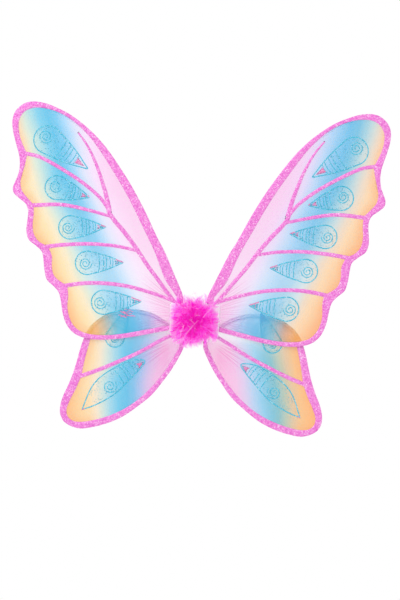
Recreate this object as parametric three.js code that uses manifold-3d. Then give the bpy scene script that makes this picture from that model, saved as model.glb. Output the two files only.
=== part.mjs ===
// A child's fairy wings: four wire-framed wings of sheer printed fabric that fold on a
// small fabric centre, with a marabou puff in front and two elastic arm loops behind.
// Millimetres. +Z is up, -Y is the side with the puff, +Y is the wearer's back, and the
// origin is the centre of the back pad's rear face. Outlines are lists of [x, z] points
// for the wing on the +X side; the other wing is its mirror image.
import * as THREE from 'three';
import { mergeVertices } from 'three/addons/utils/BufferGeometryUtils.js';
import Module from 'manifold-3d';

const wasm = await Module();
wasm.setup();

// Driving dimensions
const GAP = 0.3;
const WIRE_R = 1.1;
const MEMBRANE_T = 0.4;
const TRIM_T = 0.8;
const HINGE_X = 18;
const HINGE_Y = -6;
const UPPER_WIRE_Y = -10.4;
const LOWER_WIRE_Y = HINGE_Y;
const HEM_INSET = 5;

const PANEL = { width: 74, height: 49, corner: 3, front: -15.2, back: -13.9 };
const CARD = { width: 30, height: 46, corner: 2, front: -7.4, back: -6 };
const PAD = { width: 30, height: 47, corner: 4, front: -4, back: 0 };
const CORE = { radius: 13, front: -17.7, back: -15.5 };
const PUFF = { halfWidth: 37, halfHeight: 40, centreZ: -2, front: -50, back: -15.5 };

const CASING = { halfWidth: 2.4, boreR: 1.2, front: -13.6 };
const FERRULE = { innerR: 1.4, outerR: 1.9 };
const UPPER_LEG = { casing: [11, 21], ferrule: [2, 9] };
const LOWER_LEG = { casing: [-24, -18.5], ferrule: [-30.5, -25] };

const STRAP = { x: 8.5, y: -5, width: 10, thickness: 1.2, tailFrom: 8, tailTo: 24 };
const STRAP_LOOP = [
  [-5, 24.3], [-4.3, 28], [2, 31.5], [22, 32.5], [52, 28], [84, 15.5], [100, -4],
  [88, -24], [60, -33], [24, -36], [3, -35], [-4.3, -30], [-5, -24.3],
];

// Upper wing: outer edge from the top of the root round the tip and back to the root
const UPPER_EDGE = [
  [17.5, 33], [20.5, 41], [30, 61], [48, 100], [59.5, 120], [80, 160], [103.5, 200],
  [131.5, 240], [148, 260], [169, 280], [197, 300], [216, 309], [233, 315], [249, 317.5],
  [263, 315.5], [273, 309], [280, 300], [283, 288], [282, 275], [277, 256], [271, 236],
  [269.5, 222], [271, 209], [275, 198], [278.5, 188], [277, 180], [269, 172.5],
  [258, 163.5], [254.5, 153], [255, 140], [256, 124], [252, 111], [242, 103], [232, 94],
  [229, 82], [227, 67], [222.5, 52], [212, 42.5], [204, 33], [200, 18], [197, 2],
  [190, -15], [179, -26.5], [162, -33], [140, -34.5], [120, -33], [100, -30],
  [80, -26], [60, -21.5], [40, -17], [21.5, -12],
];
const UPPER_ROOT = [[21.5, 24.5], [17.5, 24.5]];
// Inner edge of its glitter border, one run between each two vein ends
const UPPER_BORDER = [
  [[28, 34], [34, 42], [46.5, 60], [63.5, 100], [84.5, 140], [106, 180], [131.5, 220],
    [160, 260], [179, 280], [200, 295.5], [220, 304.5], [240, 308.5], [256, 307],
    [267, 300], [273, 288], [273, 275], [270, 262], [264, 248], [259, 239]],
  [[259, 239], [262, 222], [265.5, 208], [267.5, 196], [265.5, 185], [259, 176], [247, 164]],
  [[247, 164], [246, 148], [247, 133], [244.5, 119], [236.5, 108.5], [223, 102]],
  [[223, 102], [216.5, 87], [216, 71], [212, 58.5], [203, 50.5], [192, 45]],
  [[192, 45], [190, 30], [190.5, 13], [188, 0], [183, -11], [174, -20.5], [162, -25.5],
    [148, -27.5], [130, -27.5], [110, -25], [90, -21], [70, -16.5], [50, -12], [28, -7]],
];
// Veins: points, then width at the first and the last of them
const UPPER_VEINS = [
  { path: [[263, 239.5], [242, 235.5], [220, 225.5], [200, 214.5], [180, 202.5], [160, 188],
    [145, 174.5], [131, 155]], widths: [5.5, 5] },
  { path: [[250, 162], [228, 164], [208, 165], [188, 163], [168, 159], [150, 155],
    [128, 149]], widths: [6, 4.5] },
  { path: [[227, 101], [205, 104.5], [185, 106.5], [160, 108], [140, 107.5], [120, 106],
    [105, 103.5], [88, 100]], widths: [6, 4.5] },
  { path: [[196, 44], [180, 47], [160, 49.5], [140, 50], [120, 49], [100, 46.5], [80, 42],
    [60, 36.5], [38, 29.5], [25, 24]], widths: [6, 5] },
  { path: [[135, 164], [132, 153], [112, 130], [91, 104], [74, 80], [58, 60], [45, 43],
    [34, 30], [25, 18]], widths: [7, 5] },
  { path: [[184.5, 274], [172, 258], [162, 241], [152, 219], [145, 200], [139, 182],
    [133, 158]], widths: [2.4, 7] },
];

// Lower wing: its upper edge is plain and lies behind the upper wing
const LOWER_EDGE = [
  [21.5, -11], [32, -10.5], [42, -4], [58, 6], [80, 12], [100, 12.5], [115, 10],
  [130, 5], [140, -1], [150, -9], [158, -19], [164, -32], [169, -48], [174, -69],
  [179, -87], [186, -106], [192, -120], [196, -136], [195.5, -148], [190.5, -158],
  [180, -165], [166, -168.5], [150, -166.5], [130, -161], [115, -155], [100, -147],
  [80, -132], [60, -114.5], [45, -95], [32, -76], [21, -56], [15, -42], [14, -31.5],
];
const LOWER_ROOT = [[21.5, -31.5]];
const LOWER_TRIM_OUTER = LOWER_EDGE.slice(11);
const LOWER_TRIM_INNER = [
  [[19.5, -31.5], [23, -44], [33, -64], [45, -83], [60, -102], [80, -122], [100, -136.5],
    [122, -147.5], [145, -155], [163, -158.5], [176, -157.5], [183.5, -152], [186.5, -142],
    [182, -127], [174, -110], [166, -89.5]],
  [[166, -89.5], [162.5, -68], [159, -52], [154, -32]],
];
const LOWER_VEINS = [
  { path: [[170, -91], [150, -83.5], [130, -75], [110, -65.5], [90, -56], [70, -45],
    [55, -35.5], [39, -26.5], [24, -18.5]], widths: [6, 5] },
];

// Each wire between its two ends on the hinge line and its wing's hem: [x, y, z]
const UPPER_WIRE_START = [
  [18, HINGE_Y, 6], [18, HINGE_Y, 14], [18, HINGE_Y, 21.3], [18, HINGE_Y, 23],
  [19.5, -7.3, 29.5], [23.5, -9.8, 39], [29, UPPER_WIRE_Y, 50],
];
const UPPER_WIRE_END = [
  [42, UPPER_WIRE_Y, -13], [31, -10.1, -9.2], [23.5, -8.4, -5.4], [19.2, -6.5, -2.4],
  [18, HINGE_Y, 0.3], [18, HINGE_Y, 1.7], [18, HINGE_Y, 5],
];
const LOWER_WIRE_START = [
  [18, LOWER_WIRE_Y, -26.5], [18, LOWER_WIRE_Y, -21], [18, LOWER_WIRE_Y, -18],
  [18, LOWER_WIRE_Y, -16.6], [19, LOWER_WIRE_Y, -14], [22.5, LOWER_WIRE_Y, -12.6],
  [31, LOWER_WIRE_Y, -12.4], [41, LOWER_WIRE_Y, -8.3],
];
const LOWER_WIRE_END = [
  [19.2, LOWER_WIRE_Y, -40], [18, LOWER_WIRE_Y, -32.4], [18, LOWER_WIRE_Y, -31],
  [18, LOWER_WIRE_Y, -27.8],
];

const COLOURS = {
  steel: { color: 0xb9bcc0, roughness: 0.35, metalness: 0.9 },
  crimp: { color: 0xc9ccd0, roughness: 0.3, metalness: 0.9 },
  sheer: { color: 0xbfe0f2, roughness: 0.6, metalness: 0 },
  glitter: { color: 0xee78d7, roughness: 0.45, metalness: 0.1 },
  satin: { color: 0xf7f5f4, roughness: 0.4, metalness: 0 },
  card: { color: 0xe9e6dc, roughness: 0.7, metalness: 0 },
  elastic: { color: 0xf4f3f1, roughness: 0.75, metalness: 0 },
  marabou: { color: 0xff1fc0, roughness: 0.9, metalness: 0 },
};

const group = new THREE.Group();

function addMesh(name, geometry, look) {
  const mesh = new THREE.Mesh(geometry, new THREE.MeshStandardMaterial(COLOURS[look]));
  mesh.name = name;
  group.add(mesh);
}

// Geometry helpers

function smooth(points, perSpan = 3) {
  const knots = points.map(([x, z]) => new THREE.Vector3(x, z, 0));
  const curve = new THREE.CatmullRomCurve3(knots, false, 'centripetal');
  return curve.getPoints((points.length - 1) * perSpan).map((p) => [p.x, p.y]);
}

// A shape on one side of the centre, its outline always running anticlockwise
function shapeOf(points, side) {
  const outline = points.map(([x, z]) => new THREE.Vector2(side * x, z));
  return new THREE.Shape(THREE.ShapeUtils.isClockWise(outline) ? outline.reverse() : outline);
}

// A flat piece of the given outline, from y = front to y = back
function slab(shape, front, back) {
  const geometry = new THREE.ExtrudeGeometry(shape, { depth: back - front, bevelEnabled: false });
  geometry.rotateX(Math.PI / 2);
  geometry.translate(0, back, 0);
  return geometry;
}

function roundedRectangle(width, height, corner) {
  const shape = new THREE.Shape();
  const x = width / 2 - corner;
  const z = height / 2 - corner;
  shape.absarc(x, z, corner, 0, Math.PI / 2, false);
  shape.absarc(-x, z, corner, Math.PI / 2, Math.PI, false);
  shape.absarc(-x, -z, corner, Math.PI, 1.5 * Math.PI, false);
  shape.absarc(x, -z, corner, 1.5 * Math.PI, 2 * Math.PI, false);
  return shape;
}

// A plate of a rounded rectangle, with its corners cut into few facets
function plate(size) {
  const outline = roundedRectangle(size.width, size.height, size.corner).getPoints(2);
  return slab(new THREE.Shape(outline), size.front, size.back);
}

function solidOf(geometry) {
  const bare = geometry.clone();
  bare.deleteAttribute('normal');
  bare.deleteAttribute('uv');
  const merged = mergeVertices(bare, 1e-4);
  return new wasm.Manifold(new wasm.Mesh({
    numProp: 3,
    vertProperties: new Float32Array(merged.attributes.position.array),
    triVerts: new Uint32Array(merged.index.array),
  }));
}

function geometryOf(solid) {
  const mesh = solid.getMesh();
  const geometry = new THREE.BufferGeometry();
  geometry.setAttribute('position', new THREE.BufferAttribute(mesh.vertProperties, 3));
  geometry.setIndex(new THREE.BufferAttribute(mesh.triVerts, 1));
  return geometry;
}

// Both edges of a strip that follows a path, its width changing evenly along it
function ribbon({ path, widths }) {
  const points = smooth(path, 2).map(([x, z]) => new THREE.Vector2(x, z));
  const last = points.length - 1;
  const edges = points.map((point, i) => {
    const along = points[Math.min(i + 1, last)].clone().sub(points[Math.max(i - 1, 0)]);
    const half = THREE.MathUtils.lerp(widths[0], widths[1], i / last) / 2;
    const normal = new THREE.Vector2(-along.y, along.x).setLength(half);
    return [point.clone().add(normal), point.clone().sub(normal)];
  });
  const there = edges.map(([a]) => [a.x, a.y]);
  const back = edges.map(([, b]) => [b.x, b.y]).reverse();
  return [...there, ...back];
}

// The line at a set distance inside an outline that runs clockwise as seen from the puff side
function inset(points, distance) {
  const last = points.length - 1;
  return points.map(([x, z], i) => {
    const [ax, az] = points[Math.max(i - 1, 0)];
    const [bx, bz] = points[Math.min(i + 1, last)];
    const length = Math.hypot(bx - ax, bz - az);
    return [x + distance * (bz - az) / length, z - distance * (bx - ax) / length];
  });
}

// A smooth route whose steps are shared evenly between its points, so bends get more of them
class Route extends THREE.CatmullRomCurve3 {
  getPointAt(u, target) {
    return this.getPoint(u, target);
  }

  getTangentAt(u, target) {
    return this.getTangent(u, target);
  }
}

function rod(points, radius, sides) {
  const path = new Route(points, false, 'centripetal');
  const steps = 2 * (points.length - 1);
  const section = new THREE.Shape();
  for (let i = 0; i < sides; i += 1) {
    const angle = (2 * Math.PI * i) / sides;
    const [x, y] = [radius * Math.cos(angle), radius * Math.sin(angle)];
    if (i === 0) section.moveTo(x, y);
    else section.lineTo(x, y);
  }
  return new THREE.ExtrudeGeometry(section, { steps, extrudePath: path, bevelEnabled: false });
}

// Centre pieces

function puffSolid() {
  const { halfWidth, halfHeight, centreZ, front, back } = PUFF;
  const ball = new THREE.SphereGeometry(1, 28, 18);
  ball.rotateX(Math.PI / 2);
  const position = ball.attributes.position;
  const p = new THREE.Vector3();
  for (let i = 0; i < position.count; i += 1) {
    p.fromBufferAttribute(position, i);
    const angle = Math.atan2(p.z, p.x);
    const squareness = 1 + 0.05 * Math.cos(4 * angle + 0.5);
    const tufts = 1 + 0.035 * Math.sin(9 * angle) * Math.cos(5 * p.y);
    const spread = 0.93 * squareness * tufts;
    const y = p.y > 0 ? back : back + (back - front) * p.y;
    position.setXYZ(i, halfWidth * spread * p.x, y, centreZ + halfHeight * spread * p.z);
  }
  return solidOf(ball);
}

function puff() {
  const pocket = slab(disc(CORE.radius + 2 * GAP, 24), CORE.front - 2 * GAP, CORE.back + 1);
  return geometryOf(puffSolid().subtract(solidOf(pocket)));
}

function disc(radius, sides) {
  const shape = new THREE.Shape();
  shape.absarc(0, 0, radius, 0, 2 * Math.PI, false);
  return new THREE.Shape(shape.getSpacedPoints(sides).slice(0, -1));
}

// A fabric loop round the wire's upright leg, with a tab that is sewn to the front panel
function casing(side, [bottom, top]) {
  const { halfWidth, boreR, front } = CASING;
  const x = side * HINGE_X;
  const shape = new THREE.Shape();
  shape.moveTo(x - halfWidth, front);
  shape.lineTo(x + halfWidth, front);
  shape.absarc(x, HINGE_Y, halfWidth, 0, Math.PI, false);
  const bore = new THREE.Path();
  bore.absarc(x, HINGE_Y, boreR, 0, 2 * Math.PI, true);
  shape.holes.push(bore);
  const settings = { depth: top - bottom, bevelEnabled: false };
  return new THREE.ExtrudeGeometry(shape, settings).translate(0, 0, bottom);
}

function ferrule(side, [bottom, top]) {
  const { innerR, outerR } = FERRULE;
  const profile = [
    [innerR, bottom], [outerR, bottom], [outerR, top], [innerR, top], [innerR, bottom],
  ].map(([r, z]) => new THREE.Vector2(r, z));
  const ring = new THREE.LatheGeometry(profile, 16);
  ring.rotateX(Math.PI / 2);
  return ring.translate(side * HINGE_X, HINGE_Y, 0);
}

// Wing pieces

function membrane(side, edge, root, wireY) {
  const back = wireY - WIRE_R - GAP;
  return slab(shapeOf([...smooth(edge), ...root], side), back - MEMBRANE_T, back);
}

function trimLayer(wireY) {
  const back = wireY - WIRE_R - GAP - MEMBRANE_T - GAP;
  return [back - TRIM_T, back];
}

function joinVeins(side, border, veins, [front, back]) {
  let solid = solidOf(slab(border, front, back));
  for (const vein of veins) {
    solid = solid.add(solidOf(slab(shapeOf(ribbon(vein), side), front, back)));
  }
  return geometryOf(solid);
}

function runs(parts) {
  return parts.flatMap((part) => smooth(part).slice(0, -1)).concat([parts.at(-1).at(-1)]);
}

function upperTrim(side) {
  const border = shapeOf([...smooth(UPPER_EDGE), ...UPPER_ROOT], side);
  border.holes.push(shapeOf(runs(UPPER_BORDER), side));
  return joinVeins(side, border, UPPER_VEINS, trimLayer(UPPER_WIRE_Y));
}

function lowerTrim(side) {
  const border = shapeOf([...smooth(LOWER_TRIM_OUTER), ...runs(LOWER_TRIM_INNER)], side);
  return joinVeins(side, border, LOWER_VEINS, trimLayer(LOWER_WIRE_Y));
}

// The wire runs in the hem, inside the wing's edge, between its two ends on the hinge line
function wire(side, start, hem, end) {
  const [, y] = end[0];
  const along = inset(hem, HEM_INSET).map(([x, z]) => [x, y, z]);
  const points = [...start, ...along, ...end];
  return rod(points.map(([x, py, z]) => new THREE.Vector3(side * x, py, z)), WIRE_R, 6);
}

// Arm loops

function strapTail(side, end) {
  const { x, y, width, thickness, tailFrom, tailTo } = STRAP;
  const tail = new THREE.BoxGeometry(width, thickness, tailTo - tailFrom);
  return tail.translate(side * x, y, end * (tailFrom + tailTo) / 2);
}

function strapLoop(side) {
  const { x, width, thickness } = STRAP;
  const middle = smooth(STRAP_LOOP);
  const outer = inset(middle, -thickness / 2);
  const inner = inset(middle, thickness / 2).reverse();
  const outline = [...outer, ...inner].map(([y, z]) => new THREE.Vector2(y, z));
  const settings = { depth: width, bevelEnabled: false };
  const band = new THREE.ExtrudeGeometry(new THREE.Shape(outline), settings);
  band.rotateX(Math.PI / 2);
  band.rotateZ(Math.PI / 2);
  return band.translate(side * x - width / 2, 0, 0);
}

// Assembly

addMesh('front_panel', plate(PANEL), 'satin');
addMesh('centre_card', plate(CARD), 'card');
addMesh('back_pad', plate(PAD), 'satin');
addMesh('marabou_core', slab(disc(CORE.radius, 24), CORE.front, CORE.back), 'satin');
addMesh('marabou_puff', puff(), 'marabou');

for (const [name, side] of [['left', -1], ['right', 1]]) {
  addMesh(`${name}_upper_casing`, casing(side, UPPER_LEG.casing), 'satin');
  addMesh(`${name}_lower_casing`, casing(side, LOWER_LEG.casing), 'satin');

  const upperHem = UPPER_EDGE.slice(3, -2);
  addMesh(`${name}_upper_wire`, wire(side, UPPER_WIRE_START, upperHem, UPPER_WIRE_END), 'steel');
  addMesh(`${name}_upper_ferrule`, ferrule(side, UPPER_LEG.ferrule), 'crimp');
  addMesh(`${name}_upper_membrane`, membrane(side, UPPER_EDGE, UPPER_ROOT, UPPER_WIRE_Y), 'sheer');
  addMesh(`${name}_upper_trim`, upperTrim(side), 'glitter');

  const lowerHem = LOWER_EDGE.slice(3, -2);
  addMesh(`${name}_lower_wire`, wire(side, LOWER_WIRE_START, lowerHem, LOWER_WIRE_END), 'steel');
  addMesh(`${name}_lower_ferrule`, ferrule(side, LOWER_LEG.ferrule), 'crimp');
  addMesh(`${name}_lower_membrane`, membrane(side, LOWER_EDGE, LOWER_ROOT, LOWER_WIRE_Y), 'sheer');
  addMesh(`${name}_lower_trim`, lowerTrim(side), 'glitter');

  addMesh(`${name}_strap_top_tail`, strapTail(side, 1), 'elastic');
  addMesh(`${name}_strap_bottom_tail`, strapTail(side, -1), 'elastic');
  addMesh(`${name}_strap_loop`, strapLoop(side), 'elastic');
}

export default group;
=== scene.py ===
"""A child's fairy wings: the looks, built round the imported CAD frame.

Shapes are worked out in millimetres and turned into metres as each mesh is made. +Z is
up, -Y is the front with the puff. A wing's outline is read from its CAD node, so a piece
lies exactly where the CAD says; x in 2-D work is the distance outward from the middle.
"""

import math

import bpy
import numpy as np
from mathutils import Matrix, Vector, geometry, kdtree


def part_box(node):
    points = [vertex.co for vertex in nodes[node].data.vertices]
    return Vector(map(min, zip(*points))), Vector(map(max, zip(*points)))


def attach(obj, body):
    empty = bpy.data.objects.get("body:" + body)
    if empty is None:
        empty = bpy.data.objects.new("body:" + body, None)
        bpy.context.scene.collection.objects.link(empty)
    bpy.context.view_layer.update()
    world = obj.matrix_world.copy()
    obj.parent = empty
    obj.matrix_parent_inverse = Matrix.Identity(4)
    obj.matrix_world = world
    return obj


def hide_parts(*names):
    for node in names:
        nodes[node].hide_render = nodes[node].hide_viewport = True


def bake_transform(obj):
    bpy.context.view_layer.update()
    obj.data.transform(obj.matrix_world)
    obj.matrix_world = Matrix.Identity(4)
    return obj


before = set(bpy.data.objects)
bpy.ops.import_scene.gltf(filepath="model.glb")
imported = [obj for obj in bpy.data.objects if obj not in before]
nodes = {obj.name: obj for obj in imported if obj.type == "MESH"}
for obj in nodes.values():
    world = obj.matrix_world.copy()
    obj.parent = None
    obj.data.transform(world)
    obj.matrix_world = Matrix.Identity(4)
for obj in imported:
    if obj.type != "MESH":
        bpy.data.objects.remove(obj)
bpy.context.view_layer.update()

MM = 0.001
SIDES = {"left": -1, "right": 1}
SEEDS = {"upper": 11, "lower": 12, "dashes": 21, "feathers": 5, "quills": 8}
WIRE_R = 1.1            # the CAD wires' radius
MEMBRANE_T = 0.22       # printed organza
TRIM_RISE = 0.75        # how far a glitter line stands up
TRIM_SHOULDER = 2.0     # width of a glitter line's rounded edge
SHARP = math.radians(60)
STITCH = {"length": 2.1, "pitch": 3.1, "radius": 0.24}
GATHERS_END = (92, 34)  # at this reach from the pinch the gathers are gone, at that full
HEM_STEP = 2.4          # along the hem, and from one of its stitches to the next
HEM_FROM = (27, -45)    # the hem is only where it is further out or lower than this
SEWN_LINE = 3.3         # how far outside the wire the hem is sewn
# where each level's gathers fan out from: distance outward, height
PINCH = {"upper": (6.0, 8.0), "lower": (10.0, -22.0)}


# Camera

def add_camera():
    """Straight on from the front, rolled a little so that the wings lean to the right."""
    distance, roll = 3.0, math.radians(2.15)
    target = Vector((0.0071, 0, 0.0303))
    right = Vector((math.cos(roll), 0, math.sin(roll)))
    up = Vector((-math.sin(roll), 0, math.cos(roll)))
    camera = bpy.data.objects.new("camera", bpy.data.cameras.new("camera"))
    camera.data.lens = 120
    camera.data.sensor_width = 36
    axes = Matrix((right, up, Vector((0, -1, 0)))).transposed().to_4x4()
    camera.matrix_world = Matrix.Translation(target - Vector((0, distance, 0))) @ axes
    bpy.context.scene.collection.objects.link(camera)
    bpy.context.scene.camera = camera


# Materials

def rgb(code):
    """A linear colour from an sRGB hex code."""
    parts = [int(code[i:i + 2], 16) / 255 for i in (0, 2, 4)]
    linear = [p / 12.92 if p <= 0.04045 else ((p + 0.055) / 1.055) ** 2.4 for p in parts]
    return (*linear, 1.0)


class Graph:
    """A material's node tree, with one short call for each kind of node."""

    def __init__(self, name, **constants):
        self.material = bpy.data.materials.new(name)
        self.material.use_nodes = True
        self.tree = self.material.node_tree
        self.shader = self.tree.nodes["Principled BSDF"]
        for socket, value in constants.items():
            self.set(socket.replace("_", " "), value)

    def set(self, socket, value):
        self.feed(self.shader.inputs[socket], value)

    def feed(self, socket, value):
        """Links or sets a socket; a text value is a colour's hex code, None leaves it alone."""
        if isinstance(value, bpy.types.NodeSocket):
            self.tree.links.new(value, socket)
        elif value is not None:
            socket.default_value = rgb(value) if isinstance(value, str) else value

    def add(self, kind, *values, out=0, **settings):
        node = self.tree.nodes.new("ShaderNode" + kind)
        for key, value in settings.items():
            setattr(node, key, value)
        for socket, value in zip(node.inputs, values):
            self.feed(socket, value)
        return node.outputs[out]

    def math(self, operation, *values):
        return self.add("Math", *values, operation=operation)

    def times(self, a, b):
        return self.math("MULTIPLY", a, b)

    def plus(self, a, b):
        return self.math("ADD", a, b)

    def place(self, scale=(1, 1, 1)):
        """Coordinates on the piece, in millimetres at scale 1."""
        coordinates = self.add("TexCoord", out="Object")
        scaled = tuple(s / MM for s in scale)
        return self.add("VectorMath", coordinates, scaled, operation="MULTIPLY")

    def attribute(self, name):
        return self.add("Attribute", attribute_name=name, out="Fac")

    def noise(self, place, scale, detail=2.0):
        return self.add("TexNoise", place, None, scale, detail)

    def cells(self, place, size):
        """A random colour for each cell of the given size in millimetres."""
        return self.add("TexVoronoi", place, None, 1 / size, out="Color")

    def spread(self, value, low, high, to_low=0.0, to_high=1.0):
        return self.add("MapRange", value, low, high, to_low, to_high)

    def mix(self, factor, a, b, blend="MIX"):
        node = self.tree.nodes.new("ShaderNodeMix")
        node.data_type = "RGBA"
        node.blend_type = blend
        for index, value in ((0, factor), (6, a), (7, b)):
            self.feed(node.inputs[index], value)
        return node.outputs[2]

    def ramp(self, factor, stops):
        node = self.tree.nodes.new("ShaderNodeValToRGB")
        elements = node.color_ramp.elements
        while len(elements) < len(stops):
            elements.new(0.5)
        for element, (position, code) in zip(elements, stops):
            element.position = position
            element.color = rgb(code)
        self.feed(node.inputs[0], factor)
        return node.outputs[0]

    def curve(self, value, points):
        """A float curve through points whose first and second numbers run from 0 to 1."""
        node = self.tree.nodes.new("ShaderNodeFloatCurve")
        line = node.mapping.curves[0]
        while len(line.points) < len(points):
            line.points.new(0.5, 0.5)
        for knot, location in zip(line.points, points):
            knot.location = location
        node.mapping.update()
        self.feed(node.inputs["Value"], value)
        return node.outputs[0]

    def bump(self, height, distance, strength):
        """Relief of the given depth in millimetres."""
        node = self.tree.nodes.new("ShaderNodeBump")
        self.feed(node.inputs["Strength"], strength)
        self.feed(node.inputs["Distance"], distance * MM)
        self.feed(node.inputs["Height"], height)
        self.set("Normal", node.outputs[0])

    def weave(self, pitch):
        """Threads both ways at the given pitch, 0 in the holes and 1 on top of a thread."""
        across = self.add("SeparateXYZ", self.place())
        waves = []
        for value in (across, across.node.outputs["Z"]):
            turned = self.times(value, 2 * math.pi / pitch)
            waves.append(self.math("MULTIPLY_ADD", self.math("SINE", turned), 0.5, 0.5))
        return self.math("MAXIMUM", *waves)


# A print: colours against the distance outward from the line where blue meets cream. The
# line and the paleness of the blue go by height. The four wings' prints are cut differently.
PRINT_SPAN = (-110.0, 70.0)
PRINT_DRIFT = 6.0           # how far that line wanders
WIDEST = 300.0              # no such line lies further out than this
STREAKS = 34.0              # gather streaks to a radian
ORGANZA_PITCH = 0.9
LET_THROUGH = (0.92, 0.72)  # the share of white let through in a hole and by a thread
UPPER_LINE = [
    (-40, 124), (-10, 126), (15, 140), (60, 160), (90, 173), (115, 189), (145, 202),
    (175, 216), (205, 230), (255, 242), (285, 252), (320, 262),
]
UPPER_PALE = [(-40, 0), (10, 0.1), (60, 0.32), (100, 0.16), (160, 0.06), (205, 0), (320, 0)]
PRINTS = {
    "left_upper": {
        "line": UPPER_LINE, "pale": UPPER_PALE, "blush": 0.0,
        "stops": [
            (-104, "FBD6F1"), (-88, "FCDDF6"), (-74, "F9E6FB"), (-62, "E6E9FB"), (-50, "B9DFF8"),
            (-38, "84D0F0"), (-26, "6ECAEA"), (-12, "8AD5EC"), (0, "BAE2E6"), (10, "DEECDF"),
            (22, "FBEDCD"), (34, "FCE5B6"), (48, "FCD8A2"), (62, "FAC48B"),
        ],
    },
    "right_upper": {
        "line": UPPER_LINE, "pale": UPPER_PALE, "blush": 0.0,
        "stops": [
            (-104, "F9D3F0"), (-88, "F6D6F3"), (-74, "E6DDF7"), (-60, "C0DBF5"), (-46, "98D0F0"),
            (-32, "7AC7EA"), (-20, "82C9E5"), (-8, "AED6E2"), (2, "D1DEDD"), (14, "F0DECA"),
            (26, "FBDCB6"), (40, "FBD1A3"), (54, "FBC290"),
        ],
    },
    "left_lower": {
        "line": [
            (-170, 130), (-135, 130), (-115, 132), (-95, 134), (-65, 128), (-45, 127),
            (-10, 114), (20, 112),
        ],
        "pale": [(-170, 0), (-60, 0), (-36, 0.05), (-12, 0.35), (20, 0.35)], "blush": 1.0,
        "stops": [
            (-80, "F4C1E6"), (-68, "DCC5E9"), (-58, "B9C6EC"), (-46, "89C7EA"), (-34, "6DC7E9"),
            (-22, "7CD0EC"), (-10, "ACDCEA"), (0, "D8E7DF"), (10, "F8E9D1"), (22, "FCE1B5"),
            (36, "FBD8A4"), (50, "FBCE96"),
        ],
    },
    "right_lower": {
        "line": [
            (-170, 144), (-135, 142), (-115, 139), (-95, 137), (-65, 129), (-45, 126),
            (-10, 114), (20, 112),
        ],
        "pale": [(-170, 0), (-60, 0), (-36, 0.2), (-12, 0.95), (20, 0.95)], "blush": 0.9,
        "stops": [
            (-85, "FAC3E6"), (-70, "F6CAEA"), (-58, "E3D2EF"), (-46, "C0D7F1"), (-34, "9CD4ED"),
            (-22, "88CBDF"), (-12, "90C8D0"), (0, "C4CDB8"), (10, "E6CBA8"), (22, "F8C991"),
            (36, "FDC487"),
        ],
    },
}


def organza(name, design, pinch):
    """Sheer printed fabric. What is white in the print is let through, the rest is dyed.

    The sheet has two faces, so each lets through the square root of the whole.
    """
    g = Graph(name, Roughness=0.42, Sheen_Weight=0.25, Sheen_Roughness=0.4)
    place = g.place()
    across = g.add("SeparateXYZ", place)
    height = across.node.outputs["Z"]
    outward = g.math("ABSOLUTE", across)

    def by_height(pairs, reach):
        low, high = pairs[0][0], pairs[-1][0]
        points = [((z - low) / (high - low), value / reach) for z, value in pairs]
        return g.times(g.curve(g.spread(height, low, high), points), reach)

    drift = g.spread(g.noise(place, 0.018), 0, 1, -PRINT_DRIFT, PRINT_DRIFT)
    beyond = g.math("SUBTRACT", outward, by_height(design["line"], WIDEST))
    beyond = g.plus(beyond, drift)
    start, end = PRINT_SPAN
    stops = [((at - start) / (end - start), code) for at, code in design["stops"]]
    printed = g.ramp(g.spread(beyond, start, end), stops)
    pale = g.times(by_height(design["pale"], 1.0), g.spread(beyond, 0, 14, 1, 0))
    printed = g.mix(pale, printed, "FDFBFF")
    if design["blush"]:
        top = g.times(g.spread(height, -30, -16), g.spread(beyond, -12, 4))
        printed = g.mix(g.times(top, design["blush"]), printed, "FFC0BA")

    warm = g.mix(0.3, printed, "FAAE72")
    printed = g.mix(g.times(g.attribute("rim"), g.spread(beyond, 4, 22)), printed, warm)
    # Darker pink streaks fan out from the pinch where the fabric is gathered: partly the denser cloth,
    # partly painted shade in its folds.
    dx, dz = g.math("SUBTRACT", outward, pinch[0]), g.math("SUBTRACT", height, pinch[1])
    turn = g.math("ARCTAN2", dz, dx)
    streaks = g.noise(g.add("CombineXYZ", g.times(turn, STREAKS)), 1.0, 3.0)
    deep = g.times(g.attribute("gather_density_and_shade"), g.spread(streaks, 0.42, 0.72))
    printed = g.mix(g.times(deep, 0.8), printed, "F487D0", "MULTIPLY")
    slub = g.noise(g.place((0.35, 1, 3.0)), 0.5, 3.0)
    printed = g.mix(0.12, printed, g.mix(slub, "FFFFFF", "B9C6DD"), "MULTIPLY")

    parts = g.add("SeparateColor", printed)
    red, green, blue = parts, parts.node.outputs[1], parts.node.outputs[2]
    least = g.math("MINIMUM", g.math("MINIMUM", red, green), blue)
    threads = g.weave(ORGANZA_PITCH)
    through = g.times(least, g.spread(threads, 0, 1, *LET_THROUGH))
    held = g.math("SUBTRACT", 1.0, through)
    dyed = [g.math("DIVIDE", g.math("SUBTRACT", c, through), held) for c in (red, green, blue)]
    g.set("Base Color", g.add("CombineColor", *dyed))
    g.set("Alpha", g.math("SUBTRACT", 1.0, g.math("SQRT", through)))
    wrinkles = g.times(g.noise(place, 0.11, 4.0), 3.0)
    g.bump(g.plus(wrinkles, threads), 0.12, 0.5)
    return g.material


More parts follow.
